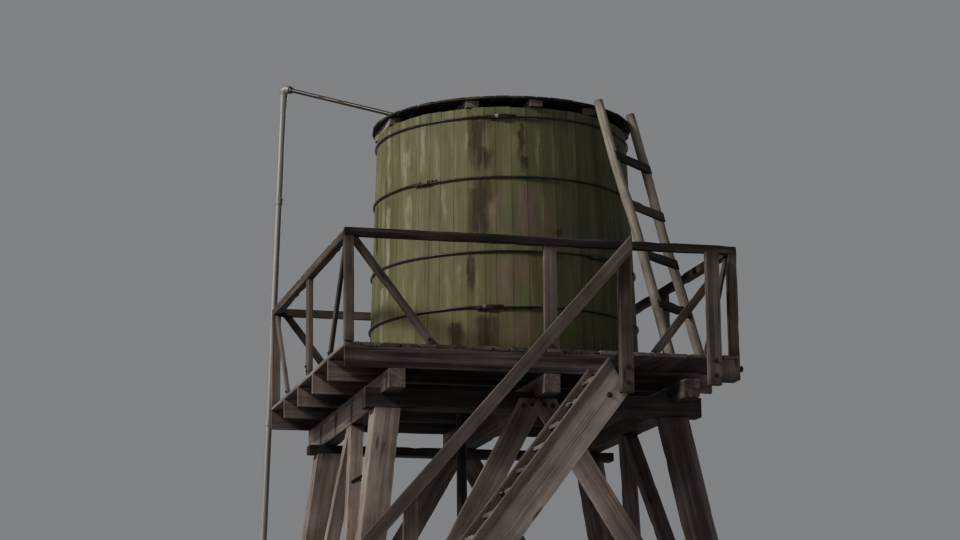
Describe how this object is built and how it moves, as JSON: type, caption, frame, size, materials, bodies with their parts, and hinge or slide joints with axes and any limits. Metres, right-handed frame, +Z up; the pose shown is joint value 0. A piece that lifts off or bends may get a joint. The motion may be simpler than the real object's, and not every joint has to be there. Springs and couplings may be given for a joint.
{
  "type": "elevated water tower",
  "caption": "Round wooden water tank with iron hoops and a flat roof on a battered timber tower with a railed deck, a steep stair, a leaning ladder and a standing fill pipe.",
  "frame": {"origin": "on the ground, under the middle of the whole object's footprint", "axes": "+Z up, +X to the right along the front, +Y to the back"},
  "size_m": [6.7614, 5.543, 10.102],
  "materials": {
    "weathered_timber": "bare weathered timber, grey brown, matt",
    "shaded_timber": "dark weathered timber, matt",
    "green_staves": "faded green paint on wooden staves, stained",
    "dark_iron": "dark rusted iron",
    "grey_pipe": "dull weathered zinc"
  },
  "bodies": {
    "root": {"leg_front_left": "weathered_timber", "leg_front_right": "weathered_timber", "leg_back_left": "weathered_timber", "leg_back_right": "weathered_timber", "cap_front": "shaded_timber", "cap_back": "shaded_timber", "girder_left": "shaded_timber", "girder_middle": "shaded_timber", "girder_right": "shaded_timber", "brace_front_left": "weathered_timber", "brace_front_right": "weathered_timber", "brace_back_left": "weathered_timber", "brace_back_right": "weathered_timber", "brace_right_left": "weathered_timber", "brace_right_right": "weathered_timber", "brace_left_left": "weathered_timber", "brace_left_right": "weathered_timber", "joist_1": "weathered_timber", "joist_2": "weathered_timber", "joist_3": "weathered_timber", "joist_4": "weathered_timber", "joist_5": "weathered_timber", "joist_6": "weathered_timber", "deck_corner_block": "weathered_timber", "deck": "weathered_timber", "tank_wall_1": "green_staves", "tank_wall_2": "green_staves", "tank_wall_3": "green_staves", "tank_wall_4": "green_staves", "tank_wall_5": "green_staves", "tank_wall_6": "green_staves", "tank_floor": "green_staves", "hoop_1": "dark_iron", "hoop_2": "dark_iron", "hoop_3": "dark_iron", "hoop_4": "dark_iron", "roof_beam_1": "shaded_timber", "roof_beam_2": "shaded_timber", "roof_beam_3": "shaded_timber", "roof_beam_4": "shaded_timber", "roof_beam_5": "shaded_timber", "roof": "shaded_timber", "railing_front": "weathered_timber", "railing_back": "weathered_timber", "railing_left": "weathered_timber", "railing_right": "weathered_timber", "railing_outer_post": "weathered_timber", "railing_outer_brace": "weathered_timber", "stair": "weathered_timber", "stair_newel": "weathered_timber", "handrail_post_1": "weathered_timber", "handrail_post_2": "weathered_timber", "stair_handrail": "weathered_timber", "ladder": "weathered_timber", "fill_pipe": "grey_pipe", "fill_arm": "dark_iron", "riser_pipe": "dark_iron"}
  },
  "joints": []
}
